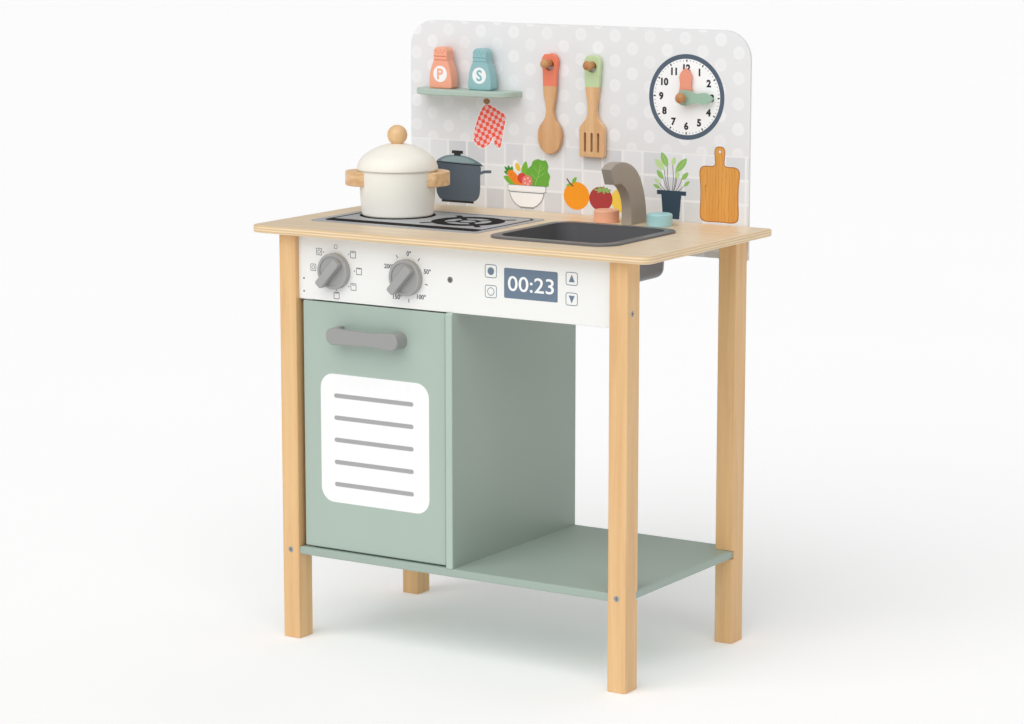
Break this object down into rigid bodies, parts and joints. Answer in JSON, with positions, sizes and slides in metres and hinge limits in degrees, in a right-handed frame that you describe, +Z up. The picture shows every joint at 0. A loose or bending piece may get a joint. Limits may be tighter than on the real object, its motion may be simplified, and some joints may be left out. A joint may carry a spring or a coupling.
{
  "type": "toy kitchen",
  "caption": "Wooden toy kitchen with oven door, dials, sink, taps, hob with pot, wall shelf with shakers, hanging utensils and a printed backboard with a movable clock.",
  "frame": {"origin": "on the floor, under the middle of the overall bounding box", "axes": "+Z up, +Y from the front (oven door) to the backboard, +X to the right as seen from the front"},
  "size_m": [0.638, 0.352, 0.8575],
  "materials": {
    "natural_wood": "satin",
    "plywood_top": "satin",
    "sage_paint": "satin paint over board",
    "white_paint": "satin paint over board",
    "printed_board": "printed board, satin",
    "cream_paint": "satin paint",
    "taupe_paint": "satin paint",
    "coral_paint": "satin paint",
    "aqua_paint": "satin paint",
    "green_paint": "satin paint",
    "grey_plastic": "matte",
    "dark_grey_plastic": "satin",
    "black_plastic": "matte",
    "hob_sheet": "brushed",
    "zinc_steel": "zinc plated"
  },
  "bodies": {
    "kitchen": {"leg_front_left": "natural_wood", "leg_front_right": "natural_wood", "leg_back_left": "natural_wood", "leg_back_right": "natural_wood", "bottom_shelf": "sage_paint", "countertop": "plywood_top", "control_panel": "white_paint", "backboard": "printed_board", "divider_panel": "sage_paint", "oven_side_left": "sage_paint", "oven_back": "sage_paint", "corner_block": "natural_wood", "pivot_hinge_top": "zinc_steel", "pivot_hinge_bottom": "zinc_steel", "magnet_catch": "black_plastic", "sink_basin": "dark_grey_plastic", "faucet": "taupe_paint", "hob_plate": "hob_sheet", "wall_shelf": "sage_paint", "spoon_peg": "natural_wood", "spatula_peg": "natural_wood", "clock_peg": "natural_wood", "leg_shelf_screws": "zinc_steel", "panel_end_screws": "zinc_steel", "divider_front_screw": "zinc_steel", "panel_brads": "zinc_steel", "counter_brads": "zinc_steel", "backboard_screws": "zinc_steel", "wall_shelf_screws": "zinc_steel", "underside_screws": "zinc_steel", "hinge_screws": "zinc_steel", "faucet_screws": "zinc_steel", "catch_screws": "zinc_steel"},
    "door": {"oven_door": "sage_paint", "door_handle": "grey_plastic", "handle_screws": "zinc_steel", "strike_plate": "zinc_steel"},
    "left_dial": {"dial_left": "grey_plastic", "dial_bolt_left": "zinc_steel"},
    "right_dial": {"dial_right": "grey_plastic", "dial_bolt_right": "zinc_steel"},
    "left_tap": {"tap_left": "coral_paint", "tap_axle_left": "natural_wood"},
    "right_tap": {"tap_right": "aqua_paint", "tap_axle_right": "natural_wood"},
    "hour_hand": {"clock_hour_hand": "coral_paint"},
    "minute_hand": {"clock_minute_hand": "green_paint"},
    "pot": {"pot_body": "cream_paint", "pot_handle_left": "natural_wood", "pot_handle_right": "natural_wood"},
    "lid": {"pot_lid": "cream_paint", "lid_knob": "natural_wood", "lid_screw": "zinc_steel"},
    "pepper": {"pepper_shaker": "coral_paint"},
    "salt": {"salt_shaker": "aqua_paint"},
    "spoon_body": {"spoon": "natural_wood"},
    "spatula_body": {"spatula": "natural_wood"}
  },
  "joints": [
    {"name": "door_hinge", "type": "hinge", "parent": "kitchen", "child": "door", "pos_m": [-0.238, -0.14575, 0.31], "axis": [0, 0, -1], "range_deg": [0, 105]},
    {"name": "left_dial_turn", "type": "hinge", "parent": "kitchen", "child": "left_dial", "pos_m": [-0.189, -0.1515, 0.53], "axis": [0, -1, 0], "continuous": true},
    {"name": "right_dial_turn", "type": "hinge", "parent": "kitchen", "child": "right_dial", "pos_m": [-0.0695, -0.1515, 0.53], "axis": [0, -1, 0], "continuous": true},
    {"name": "left_tap_turn", "type": "hinge", "parent": "kitchen", "child": "left_tap", "pos_m": [0.0865, 0.116, 0.59], "axis": [0, 0, 1], "continuous": true},
    {"name": "right_tap_turn", "type": "hinge", "parent": "kitchen", "child": "right_tap", "pos_m": [0.1715, 0.116, 0.59], "axis": [0, 0, 1], "continuous": true},
    {"name": "hour_hand_turn", "type": "hinge", "parent": "kitchen", "child": "hour_hand", "pos_m": [0.1824, 0.168, 0.763], "axis": [0, 1, 0], "continuous": true},
    {"name": "minute_hand_turn", "type": "hinge", "parent": "kitchen", "child": "minute_hand", "pos_m": [0.1824, 0.163, 0.763], "axis": [0, 1, 0], "continuous": true},
    {"name": "pot_lift", "type": "slide", "parent": "kitchen", "child": "pot", "axis": [0, 0, 1], "range_m": [0, 0.045]},
    {"name": "lid_lift", "type": "slide", "parent": "pot", "child": "lid", "axis": [0, 0, 1], "range_m": [0, 0.06]},
    {"name": "pepper_lift", "type": "slide", "parent": "kitchen", "child": "pepper", "axis": [0, 0, 1], "range_m": [0, 0.03]},
    {"name": "salt_lift", "type": "slide", "parent": "kitchen", "child": "salt", "axis": [0, 0, 1], "range_m": [0, 0.03]},
    {"name": "spoon_swing", "type": "hinge", "parent": "kitchen", "child": "spoon_body", "pos_m": [-0.037, 0.168, 0.8025], "axis": [0, 1, 0], "range_deg": [-6, 22]},
    {"name": "spatula_swing", "type": "hinge", "parent": "kitchen", "child": "spatula_body", "pos_m": [0.0335, 0.168, 0.8025], "axis": [0, 1, 0], "range_deg": [-22, 6]}
  ]
}
